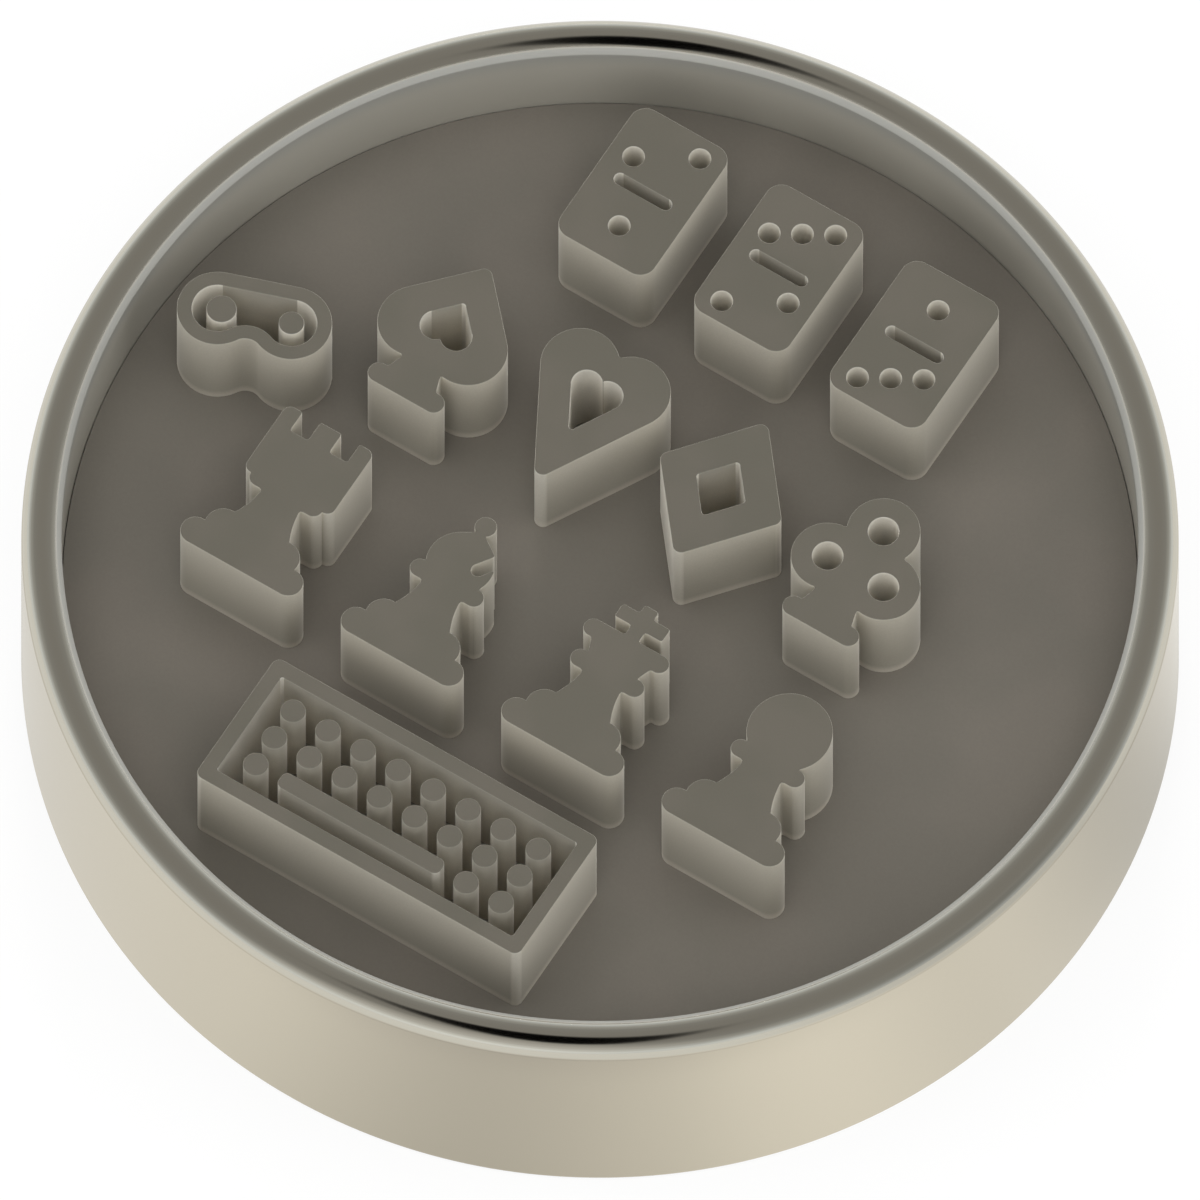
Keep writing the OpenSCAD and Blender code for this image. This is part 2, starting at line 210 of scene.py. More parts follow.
def case_profile(sizes):
    """Half section of the case as (r, z) points and normals, from a small hub of the back, round the
    side and the rim, down the bore to the hub of the floor. The outer half of the rim is a quarter
    round. The inner half is a flatter arc, and a small round that touches both turns it down into the
    bore: its middle lies on a circle about the arc's middle, at the sine (lip - edge) / (inner - edge).
    Where two stretches meet, the point that they share is kept once."""
    bore_r = DISC_R + sizes.disc_clearance
    lip_r = (CASE_R - bore_r) / 2
    crest = CASE_R - lip_r
    hub = edge = sizes.back_edge
    inner_r, bore_edge = sizes.rim_inner_r, sizes.bore_edge
    lean = asin((lip_r - bore_edge) / (inner_r - bore_edge))
    turn_z = CASE_H - inner_r + (inner_r - bore_edge) * cos(lean)
    stretches = [
        straight((hub, 0.0), (CASE_R - edge, 0.0), steps=6),
        arc((CASE_R - edge, edge), edge, -pi / 2, 0.0, steps=6),
        straight((CASE_R, edge), (CASE_R, CASE_H - lip_r), steps=8),
        arc((crest, CASE_H - lip_r), lip_r, 0.0, pi / 2, steps=24),
        arc((crest, CASE_H - inner_r), inner_r, pi / 2, pi / 2 + lean, steps=20),
        arc((bore_r + bore_edge, turn_z), bore_edge, pi / 2 + lean, pi, steps=8),
        straight((bore_r, turn_z), (bore_r, FLOOR_Z), steps=8),
        straight((bore_r, FLOOR_Z), (hub, FLOOR_Z), steps=4),
    ]
    points = np.concatenate([stretch[0] for stretch in stretches])
    normals = np.concatenate([stretch[1] for stretch in stretches])
    weld = 1e-6 * MM
    apart = np.linalg.norm(np.diff(points, axis=0), axis=1) > weld
    kept = np.concatenate([[True], apart])
    return points[kept], normals[kept]


def turned(points, normals, turns):
    """Surface of revolution of a half section: (r cos t, r sin t, z) for each point (r, z) and each of
    the turns' angles t. The last turn joins the first, and both ends close on the axis in a fan."""
    t = np.linspace(0.0, 2 * pi, turns, endpoint=False)
    around = np.stack([np.cos(t), np.sin(t)], axis=1)

    def spin(section):
        ring = section[:, None, :1] * around[None]
        level = np.broadcast_to(section[:, None, 1:], ring.shape[:2] + (1,))
        return np.concatenate([ring, level], axis=2).reshape(-1, 3)

    rows = len(points)
    index = np.arange(rows * turns).reshape(rows, turns)
    after = np.roll(index, -1, axis=1)
    quads = np.stack([index[:-1], after[:-1], after[1:], index[1:]], axis=2).reshape(-1, 4)
    back_pole, floor_pole = rows * turns, rows * turns + 1
    fans = np.concatenate([
        np.stack([after[0], index[0], np.full(turns, back_pole)], axis=1),
        np.stack([index[-1], after[-1], np.full(turns, floor_pole)], axis=1),
    ])
    poles = np.array([[0.0, 0.0, points[0, 1]], [0.0, 0.0, points[-1, 1]]])
    pole_normals = np.array([[0.0, 0.0, -1.0], [0.0, 0.0, 1.0]])
    return (
        np.concatenate([spin(points), poles]),
        quads.tolist() + fans.tolist(),
        np.concatenate([spin(normals), pole_normals]),
    )


def top_outline(node):
    """Outline of a figure's top face: its corners (x, y) and, for each, the number of the next one.

    The solid's triangles are welded, those in the top plane are kept, and an edge that no other of
    them runs the opposite way lies on the outline, with the face on its left."""
    weld_decimals = 6
    level_tolerance = 0.01 * MM
    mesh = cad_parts[node].data
    mesh.calc_loop_triangles()
    places = np.empty(len(mesh.vertices) * 3)
    mesh.vertices.foreach_get("co", places)
    triangles = np.empty(len(mesh.loop_triangles) * 3, dtype=np.int32)
    mesh.loop_triangles.foreach_get("vertices", triangles)
    places = np.round(places.reshape(-1, 3), weld_decimals)
    places, same = np.unique(places, axis=0, return_inverse=True)
    triangles = same.reshape(-1)[triangles].reshape(-1, 3)
    level = places[triangles, 2] > places[:, 2].max() - level_tolerance
    top = triangles[level.all(axis=1)]
    edges = np.concatenate([top[:, [0, 1]], top[:, [1, 2]], top[:, [2, 0]]])
    edges = edges[edges[:, 0] != edges[:, 1]]
    count = len(places)
    ways = edges[:, 0] * count + edges[:, 1]
    opposite = edges[:, 1] * count + edges[:, 0]
    outline = edges[~np.isin(ways, opposite)]
    number = np.full(count, -1)
    number[outline[:, 0]] = np.arange(len(outline))
    return places[outline[:, 0], :2], number[outline[:, 1]]


def hole_share(corners, after):
    """1 for each corner of an outline that runs round a hole, and 0 on an outer one.

    Each corner takes the lowest number of its loop by doubling its way ahead, and a loop is a hole
    where the sum of x dy - y dx along it is below zero."""
    loop, ahead = np.arange(len(after)), after
    for _ in range(int(np.ceil(np.log2(len(after))))):
        loop = np.minimum(loop, loop[ahead])
        ahead = ahead[ahead]
    step = corners[after] - corners
    area = np.bincount(loop, corners[:, 0] * step[:, 1] - corners[:, 1] * step[:, 0])
    return (area[loop] < 0.0).astype(float)


def unit(vectors):
    """Vectors of the same ways, each of length 1."""
    return vectors / np.maximum(np.linalg.norm(vectors, axis=1, keepdims=True), TINY)


def wear_share(curvature, sharp, holes, before, after):
    """Share of painted highlight at each corner of an outline, from its curvature k. An outer corner
    has gain (k r - 1) of the highlight radius r, evened with its neighbours along a curve. A curve inside
    a hole has a painted reflection of -k r - start of the hollow radius r. Both are held between 0 and 1."""
    corner_share = 0.6
    highlight_radius, gain = 0.36 * MM, 3
    evening_passes = 4
    hollow_radius, hollow_start = 2.4 * MM, 0.5
    highlight = corner_share * np.clip(gain * (curvature * highlight_radius - 1.0), 0.0, 1.0)
    even = highlight
    for _ in range(evening_passes):
        even = np.where(highlight > 0.0, (even[before] + 2 * even + even[after]) / 4, 0.0)
    hollow = holes * np.clip(-curvature * hollow_radius - hollow_start, 0.0, 1.0)
    return np.where(sharp, highlight, np.maximum(even, hollow))


def eased_path(corners, after, holes, ease):
    """The outline with each corner c turned into three points: c - a u, (first + 2 c + last) / 4 and
    c + b v, where u and v are the ways in and out. On a sharp corner a and b are the easing, and on
    a corner of a curve nearly half of the edge. Also gives the points' outward normals, the numbers
    of their next points and their share of painted highlight, which a sharp corner has at its middle point
    alone."""
    sharp_turn = radians(22)
    half_share = 0.46
    before = np.empty_like(after)
    before[after] = np.arange(len(after))
    edge = corners[after] - corners
    edge_length = np.linalg.norm(edge, axis=1)
    way_out = unit(edge)
    way_in = way_out[before]
    cross = way_in[:, 0] * way_out[:, 1] - way_in[:, 1] * way_out[:, 0]
    bend = np.arctan2(cross, (way_in * way_out).sum(axis=1))
    turn = np.abs(bend)
    sharp = turn > sharp_turn
    reach = np.where(sharp, ease * np.maximum(1.0, np.tan(turn / 2)), np.inf)
    back = np.minimum(reach, half_share * edge_length[before])[:, None]
    ahead = np.minimum(reach, half_share * edge_length)[:, None]
    first = corners - back * way_in
    last = corners + ahead * way_out
    out_in = np.stack([way_in[:, 1], -way_in[:, 0]], axis=1)
    out_out = np.stack([way_out[:, 1], -way_out[:, 0]], axis=1)
    path = np.stack([first, (first + 2 * corners + last) / 4, last], axis=1).reshape(-1, 2)
    outward = np.stack([out_in, unit(out_in + out_out), out_out], axis=1).reshape(-1, 2)
    start = EASE_POINTS * np.arange(len(corners))
    following = np.stack([start + 1, start + 2, start[after]], axis=1).reshape(-1)
    curvature = bend / np.maximum(back + ahead, TINY)[:, 0]
    # Painted highlight on corners and painted reflection in hollow curves
    highlight = wear_share(curvature, sharp, holes, before, after)
    flank = np.where(sharp, 0.0, highlight)
    painted_highlight = np.stack([flank, highlight, flank], axis=1).reshape(-1)
    return path, outward, following, painted_highlight


def wall_profile(low, high, sizes):
    """Wall of a figure as rows of (inset, z) and of (sideways, upward) normals: upright from the seat
    to the top edge, then a quarter round, inset r (1 - cos) and height r sin, onto the flat top."""
    angles = np.linspace(0.0, pi / 2, sizes.edge_steps + 1)
    r = sizes.top_edge
    inset = np.concatenate([[0.0, 0.0], r * (1 - np.cos(angles))])
    level = np.concatenate([[low, FIELD_Z], high - r + r * np.sin(angles)])
    sideways = np.concatenate([[1.0, 1.0], np.cos(angles)])
    upward = np.concatenate([[0.0, 0.0], np.sin(angles)])
    return inset, level, sideways, upward


def cap_ends(piece):
    """Closes the flat top and the seat of a figure between the open edges of its wall."""
    skin = bmesh.new()
    skin.from_mesh(piece.data)
    open_edges = [edge for edge in skin.edges if edge.is_boundary]
    for upper, normal in ((True, (0, 0, 1)), (False, (0, 0, -1))):
        rim = [edge for edge in open_edges if (edge.verts[0].co.z > FIELD_Z) == upper]
        made = bmesh.ops.triangle_fill(skin, use_beauty=True, edges=rim, normal=normal)
        faces = [item for item in made["geom"] if isinstance(item, bmesh.types.BMFace)]
        for face in faces:
            face.smooth = True
            if (face.normal.z > 0) != upper:
                face.normal_flip()
    skin.to_mesh(piece.data)
    skin.free()


def raised_figure(node, sizes):
    """A raised figure: its wall profile carried round its eased outline, capped at both ends. Its
    points store their share of painted highlight and whether they are sheltered inside a tray or a
    hole, where the walls take painted light."""
    low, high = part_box(node)
    outline = top_outline(node)
    holes = hole_share(*outline)
    path, outward, following, painted_highlight = eased_path(*outline, holes, sizes.corner)
    # The sticks take the painted reflection over their whole wall
    painted_highlight = np.ones_like(painted_highlight) if node in BRIGHT_PAINTED_POSTS else painted_highlight
    # Walls in the tray and round holes take painted light low down
    shelter = np.ones_like(painted_highlight) if node in SHELTERED else np.repeat(holes, EASE_POINTS)
    inset, level, sideways, upward = wall_profile(low[2], high[2], sizes)
    rows, count = len(inset), len(path)
    ring = path[None] - inset[:, None, None] * outward[None]
    height = np.broadcast_to(level[:, None, None], (rows, count, 1))
    vertices = np.concatenate([ring, height], axis=2).reshape(-1, 3)
    lean = sideways[:, None, None] * outward[None]
    rise = np.broadcast_to(upward[:, None, None], (rows, count, 1))
    normals = np.concatenate([lean, rise], axis=2).reshape(-1, 3)
    start = count * np.arange(rows - 1)[:, None]
    here = start + np.arange(count)
    there = start + following
    quads = np.stack([here, there, there + count, here + count], axis=2).reshape(-1, 4)
    piece = new_piece(node + "_figure", vertices, quads.tolist())
    for name, values in (("painted_highlight", painted_highlight), ("shelter", shelter)):
        stored = piece.data.attributes.new(name, "FLOAT", "POINT")
        stored.data.foreach_set("value", np.tile(values, rows))
    cap_ends(piece)
    piece.data.normals_split_custom_set_from_vertices(normals.tolist())
    return piece


class NodeTree:
    """Short calls that add and link the nodes of a material or a world."""

    def __init__(self, holder):
        holder.use_nodes = True
        self.nodes = holder.node_tree.nodes
        self.links = holder.node_tree.links

    def add(self, kind, inputs=None, **settings):
        """A node with its settings, and with its inputs linked to sockets or set to values."""
        node = self.nodes.new(kind)
        for key, value in settings.items():
            setattr(node, key, value)
        for key, value in (inputs or {}).items():
            self.feed(node.inputs[key], value)
        return node

    def feed(self, socket, value):
        """Links an input to a socket, or sets it to a value."""
        if isinstance(value, bpy.types.NodeSocket):
            self.links.new(value, socket)
        else:
            socket.default_value = value

    def math(self, operation, *values):
        """Result of one operation on sockets or numbers."""
        node = self.add("ShaderNodeMath", operation=operation)
        for socket, value in zip(node.inputs, values):
            self.feed(socket, value)
        return node.outputs[0]

    def parts(self, vector):
        """The x, y and z of a vector."""
        return self.add("ShaderNodeSeparateXYZ", {"Vector": vector}).outputs

    def radius(self, x, y):
        """Distance from the token's axis."""
        squares = self.math("ADD", self.math("POWER", x, 2.0), self.math("POWER", y, 2.0))
        return self.math("SQRT", squares)

    def blend(self, amount, low, high):
        """Mix of two colours, each a socket or a colour of three numbers."""
        node = self.add("ShaderNodeMix", data_type="RGBA")
        self.feed(node.inputs[0], amount)
        for socket, value in ((node.inputs[6], low), (node.inputs[7], high)):
            self.feed(socket, value if isinstance(value, bpy.types.NodeSocket) else (*value, 1.0))
        return node.outputs[2]

    def between(self, value, start, end, low=0.0, high=1.0, ease="SMOOTHSTEP"):
        """Step of a value, from low at start to high at end, smooth or else in a straight line."""
        node = self.add("ShaderNodeMapRange", {
            "Value": value, "From Min": start, "From Max": end, "To Min": low, "To Max": high,
        }, interpolation_type=ease)
        return node.outputs["Result"]


class Finish(NodeTree):
    """A metal whose nodes end in one Principled shader."""

    def __init__(self, name, metallic, specular=0.5):
        self.material = bpy.data.materials.new(name)
        super().__init__(self.material)
        self.shader = self.nodes["Principled BSDF"]
        self.shader.inputs["Metallic"].default_value = metallic
        self.shader.inputs["Specular IOR Level"].default_value = specular
        self.place = self.add("ShaderNodeTexCoord").outputs["Object"]

    def stored(self, name):
        """A number that the mesh stores at its points."""
        return self.add("ShaderNodeAttribute", attribute_name=name).outputs["Fac"]

    def noise(self, size, detail, place=None):
        """Noise from 0 to 1 whose patches are about as large as size."""
        node = self.add("ShaderNodeTexNoise", {
            "Vector": place or self.place, "Scale": 1.0 / size, "Detail": detail,
        })
        return node.outputs["Fac"]

    def tinted(self, clouds, body, tint):
        """A colour with soft patches of its tint where the clouds are high."""
        patch_start, patch_end = 0.38, 0.66
        return self.blend(self.between(clouds, patch_start, patch_end), body, tint)

    def specked(self, grain, body, metal, most):
        """A colour with fine specks of a darker shade of the metal, which cover it by a share at most."""
        speck_start, speck_end = 0.25, 0.75
        darker = 0.6
        speck = self.between(grain, speck_start, speck_end, 0.0, most)
        return self.blend(speck, body, tuple(darker * part for part in metal))

    def clouded_gloss(self, clouds, roughness):
        """A roughness that is a little lower and higher from cloud to cloud."""
        cloud_start, cloud_end = 0.3, 0.7
        smoother, rougher = 0.04, 0.05
        return self.between(clouds, cloud_start, cloud_end, roughness - smoother, roughness + rougher)

    def dents(self, height, depth, strength):
        """Bump of a height from 0 to 1 over a depth."""
        node = self.add("ShaderNodeBump", {"Height": height, "Distance": depth, "Strength": strength})
        self.feed(self.shader.inputs["Normal"], node.outputs["Normal"])

    def soften(self, weight, roughness, tint):
        """Sheen that lightens the surface where it turns away from the eye."""
        self.shader.inputs["Sheen Weight"].default_value = weight
        self.shader.inputs["Sheen Roughness"].default_value = roughness
        self.shader.inputs["Sheen Tint"].default_value = (*tint, 1.0)

    def finish(self, body, roughness):
        """Feeds the shader its colour and roughness, and gives the material."""
        self.feed(self.shader.inputs["Base Color"], body)
        self.feed(self.shader.inputs["Roughness"], roughness)
        return self.material


def bright_nickel(finish):
    """Polished nickel with the fine rings of the lathe and a faint haze. Inside the rim it turns to
    satin, first on the slope and then on the wall of the bore. The places where it turns are given as
    shares of half the rim's width, inwards from the side and down from the top."""
    ring_size, ring_depth, ring_strength = 0.05 * MM, 0.002 * MM, 0.25
    haze_size, haze_start, haze_end = 6.0 * MM, 0.3, 0.75
    haze_roughness = 0.03
    inner_start, inner_end = 1.1, 1.4
    slope_start, slope_end = 0.14, 0.29
    wall_start, wall_end = 0.4, 1.9
    satin_metallic = 0.15
    half_rim = (CASE_R - DISC_R) / 2
    metal = Finish("bright_nickel", metallic=1.0)
    x, y, z = metal.parts(metal.place)
    radius = metal.radius(x, y)
    ring_place = metal.add("ShaderNodeCombineXYZ", {"X": radius, "Z": z}).outputs[0]
    rings = metal.noise(ring_size, detail=4.0, place=ring_place)
    haze = metal.noise(haze_size, detail=2.0)
    inner = metal.between(radius, CASE_R - inner_start * half_rim, CASE_R - inner_end * half_rim)

    def inside_below(start, end):
        depth = metal.between(z, CASE_H - start * half_rim, CASE_H - end * half_rim)
        return metal.math("MULTIPLY", inner, depth)

    slope = inside_below(slope_start, slope_end)
    wall = inside_below(wall_start, wall_end)
    body = metal.blend(slope, finish.case, finish.lip)
    body = metal.blend(wall, body, finish.bore)
    hazy = finish.case_roughness + haze_roughness
    gloss = metal.between(haze, haze_start, haze_end, finish.case_roughness, hazy)
    satin = metal.math("MULTIPLY", slope, finish.bore_roughness - finish.case_roughness)
    metal.feed(metal.shader.inputs["Metallic"], metal.between(slope, 0.0, 1.0, 1.0, satin_metallic))
    metal.dents(rings, ring_depth, ring_strength)
    return metal.finish(body, metal.math("ADD", gloss, satin))


def matte_metal(finish):
    """Matte field with faint clouds of colour and a fine blasted grain."""
    cloud_size, grain_size = 4.5 * MM, 0.09 * MM
    grain_depth, grain_strength, speck_share = 0.006 * MM, 0.25, 0.10
    metal = Finish("matte_metal", metallic=0.25, specular=0.3)
    clouds = metal.noise(cloud_size, detail=2.0)
    grain = metal.noise(grain_size, detail=3.0)
    body = metal.tinted(clouds, finish.field, finish.field_tint)
    body = metal.specked(grain, body, finish.field, speck_share)
    metal.dents(grain, grain_depth, grain_strength)
    return metal.finish(body, metal.clouded_gloss(clouds, finish.field_roughness))


def satin_metal(finish):
    """Satin relief: matte tops, and walls painted lighter than the tops as a painted reflection, with
    painted shade that darkens them downwards and a painted light line at the foot. Walls inside the
    trays and holes take painted light that lifts their lower part instead, and corners, hollow curves
    and posts take a painted highlight by the stored share. Heights on the walls are shares of the
    rise from the field to the top."""
    cloud_size, grain_size = 3.0 * MM, 0.07 * MM
    grain_depth, grain_strength, speck_share = 0.005 * MM, 0.2, 0.08
    painted_shade_height, wall_power = 0.2, 1.6
    foot_start, foot_end = FIELD_Z + 0.5 * MM, FIELD_Z + 0.1 * MM
    shelter_height = 0.5
    wall_slope, top_slope = 0.3, 0.8
    metal = Finish("satin_metal", metallic=0.3, specular=0.4)
    metal.soften(weight=0.45, roughness=0.35, tint=(0.95, 0.91, 0.82))
    upward = metal.parts(metal.add("ShaderNodeNewGeometry").outputs["Normal"])[2]
    z = metal.parts(metal.place)[2]
    rise = metal.between(z, FIELD_Z, CASE_H, ease="LINEAR")
    clouds = metal.noise(cloud_size, detail=2.0)
    grain = metal.noise(grain_size, detail=3.0)
    top = metal.tinted(clouds, finish.top, finish.top_tint)
    # Painted shade: walls darken downwards from their top edge
    upper = metal.math("POWER", metal.between(rise, painted_shade_height, 1.0, ease="LINEAR"), wall_power)
    wall = metal.blend(upper, finish.wall_dark, finish.wall_light)
    # Painted light line at the foot of the walls
    wall = metal.blend(metal.between(z, foot_start, foot_end), wall, finish.wall_foot)
    # Painted light that lifts the lower walls in trays and holes
    shade = metal.between(rise, shelter_height, 1.0, ease="LINEAR")
    inside = metal.blend(shade, finish.shelter_light, finish.shelter_dark)
    wall = metal.blend(metal.stored("shelter"), wall, inside)
    # Painted highlight on corners, hollow curves and posts
    wall = metal.blend(metal.stored("painted_highlight"), wall, finish.edge)
    # Walls painted lighter than the tops by the upward normal: a painted reflection, not a second metal
    body = metal.blend(metal.between(upward, wall_slope, top_slope), wall, top)
    body = metal.specked(grain, body, finish.top, speck_share)
    metal.dents(grain, grain_depth, grain_strength)
    return metal.finish(body, metal.clouded_gloss(clouds, finish.relief_roughness))


def shared_finish(make):
    """The material of that name, made the first time it is asked for."""
    made = bpy.data.materials.get(make.__name__)
    return made or make(bpy.context.scene.token_finish)


class RaiseFigures:
    """What the operators for the relief have in common: one piece for each solid of the group"""

    bl_options = {"REGISTER", "UNDO"}
    nodes = ()

    def execute(self, context):
        for node in self.nodes:
            piece = raised_figure(node, context.scene.token_sizes)
            dress(piece, node, shared_finish(satin_metal))
        return {"FINISHED"}


class TOKEN_OT_dominoes(RaiseFigures, bpy.types.Operator):
    """Raise the three dominoes with their slots and pips"""

    bl_idname = "token.dominoes"
    bl_label = "Dominoes"
    nodes = DOMINOES


class TOKEN_OT_suits(RaiseFigures, bpy.types.Operator):
    """Raise the spade, heart, diamond and club"""

    bl_idname = "token.suits"
    bl_label = "Card Suits"
    nodes = SUITS


class TOKEN_OT_chess_pieces(RaiseFigures, bpy.types.Operator):
    """Raise the rook, bishop, king and pawn"""

    bl_idname = "token.chess_pieces"
    bl_label = "Chess Pieces"
    nodes = CHESS_PIECES


class TOKEN_OT_gamepad(RaiseFigures, bpy.types.Operator):
    """Raise the outline of the gamepad and its two sticks"""

    bl_idname = "token.gamepad"
    bl_label = "Gamepad"
    nodes = GAMEPAD


class TOKEN_OT_keyboard(RaiseFigures, bpy.types.Operator):
    """Raise the tray of the keyboard, its space bar and its key posts"""

    bl_idname = "token.keyboard"
    bl_label = "Keyboard"
    nodes = KEYBOARD


class TOKEN_OT_case(bpy.types.Operator):
    """Turn the case with its rounded rim, broken back edge and bore"""

    bl_idname = "token.case"
    bl_label = "Case"
    bl_options = {"REGISTER", "UNDO"}

    def execute(self, context):
        sizes = context.scene.token_sizes
        piece = new_piece("turned_case", *turned(*case_profile(sizes), sizes.turns))
        dress(piece, "rim_case", shared_finish(bright_nickel))
        return {"FINISHED"}


class TOKEN_OT_face_disc(bpy.types.Operator):
    """Give the face disc its matte metal"""

    bl_idname = "token.face_disc"
    bl_label = "Face Disc"
    bl_options = {"REGISTER", "UNDO"}

    def execute(self, context):
        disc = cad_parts["face_disc"]
        disc.data.materials.clear()
        disc.data.materials.append(shared_finish(matte_metal))
        return {"FINISHED"}


def heading(azimuth, elevation):
    """Unit vector towards a bearing about the token and a height above the horizon."""
    return Vector((sin(azimuth) * cos(elevation), -cos(azimuth) * cos(elevation), sin(elevation)))


class Surroundings(NodeTree):
    """A floor or a world whose nodes are built up from an empty tree."""

    def __init__(self, holder):
        super().__init__(holder)
        self.nodes.clear()

    def off_bearing(self, bearing, middle):
        """Angle between a bearing and a middle one, the shorter way round."""
        off = self.math("SUBTRACT", bearing, middle)
        return self.math("ABSOLUTE", self.math("WRAP", off, pi, -pi))

    def dimmed(self, level, shade):
        """A colour at a level from 0, black, to 1."""
        return self.blend(level, (0.0, 0.0, 0.0), shade)

    def spot(self, way, azimuth, elevation, outer, inner, low, high):
        """Soft round spot about a heading: low beyond its outer angle, high within its inner one."""
        middle = heading(azimuth, elevation)
        node = self.add("ShaderNodeVectorMath", {0: way, 1: middle}, operation="DOT_PRODUCT")
        return self.between(node.outputs["Value"], cos(outer), cos(inner), low, high)


def studio_floor(stage):
    """Flat disc under the token: rings of points (r cos t, r sin t, 0), closed on one middle point."""
    steps, turns = 12, 96
    r = np.linspace(1.0 / steps, 1.0, steps) * stage.floor_radius
    t = np.linspace(0.0, 2 * pi, turns, endpoint=False)
    rings = np.stack([np.outer(r, np.cos(t)), np.outer(r, np.sin(t)), np.zeros((steps, turns))], axis=2)
    index = np.arange(steps * turns).reshape(steps, turns)
    after = np.roll(index, -1, axis=1)
    quads = np.stack([index[:-1], index[1:], after[1:], after[:-1]], axis=2).reshape(-1, 4)
    fan = np.stack([index[0], after[0], np.full(turns, steps * turns)], axis=1)
    vertices = np.concatenate([rings.reshape(-1, 3), [[0.0, 0.0, 0.0]]])
    return new_piece("studio_floor", vertices, quads.tolist() + fan.tolist())


def floor_paper(stage):
    """Pale paper that looks white where it is seen and still takes the token's shadow. In reflections
    alone it glows with a painted reflection: cream close to the token, with soft painted bands round
    it, and cool white farther out, with a painted grey flag on the right. A faint painted grey ring
    lies between the two. A band and the flag are each a bearing from the camera, half of a width, both
    in degrees, and a level."""
    white_share = 0.85
    cream, cream_level = (1.0, 0.975, 0.915), 0.87
    # Painted reflection: bands that only the polish of the case sees
    reflection_bands = ((-88, 34, 0.86), (-13, 32, 0.70), (26, 20, 1.15), (74, 26, 0.67))
    cool_white = (0.86, 0.89, 0.92)
    flag_bearing, flag_half_width, flag_level = 56, 42, 0.70
    near_r, far_r = CASE_R + 5 * MM, CASE_R + 13 * MM
    ring_r, ring_half_width, ring_level = CASE_R + 6 * MM, 2.5 * MM, 0.74
    material = bpy.data.materials.new("floor_paper")
    tree = Surroundings(material)
    x, y, _ = tree.parts(tree.add("ShaderNodeTexCoord").outputs["Object"])
    bearing = tree.math("ARCTAN2", x, tree.math("MULTIPLY", y, -1.0))
    radius = tree.radius(x, y)

    def card_level(middle, half_width, level):
        off = tree.off_bearing(bearing, stage.azimuth + radians(middle))
        return tree.between(off, 0.0, radians(half_width), level, 1.0)

    near_level = cream_level
    for band in reflection_bands:
        near_level = tree.math("MULTIPLY", near_level, card_level(*band))
    near = tree.dimmed(near_level, cream)
    far = tree.dimmed(card_level(flag_bearing, flag_half_width, flag_level), cool_white)
    polish = tree.blend(tree.between(radius, near_r, far_r), near, far)
    off_ring = tree.math("ABSOLUTE", tree.math("SUBTRACT", radius, ring_r))
    polish = tree.dimmed(tree.between(off_ring, 0.0, ring_half_width, ring_level, 1.0), polish)
    rays = tree.add("ShaderNodeLightPath").outputs
    seen = tree.math("MAXIMUM", rays["Is Camera Ray"], rays["Is Glossy Ray"])
    seen = tree.math("MAXIMUM", seen, rays["Is Transmission Ray"])
    # The paper glows in reflections with the painted bands: a painted reflection
    glow = tree.add("ShaderNodeEmission", {
        "Color": tree.blend(rays["Is Glossy Ray"], (1.0, 1.0, 1.0), polish),
    })
    paper = tree.add("ShaderNodeBsdfDiffuse", {"Color": (*stage.floor, 1.0)})
    both = tree.add("ShaderNodeMixShader", {
        0: tree.math("MULTIPLY", seen, white_share), 1: paper.outputs[0], 2: glow.outputs[0],
    })
    tree.add("ShaderNodeOutputMaterial", {"Surface": both.outputs[0]})
    return material


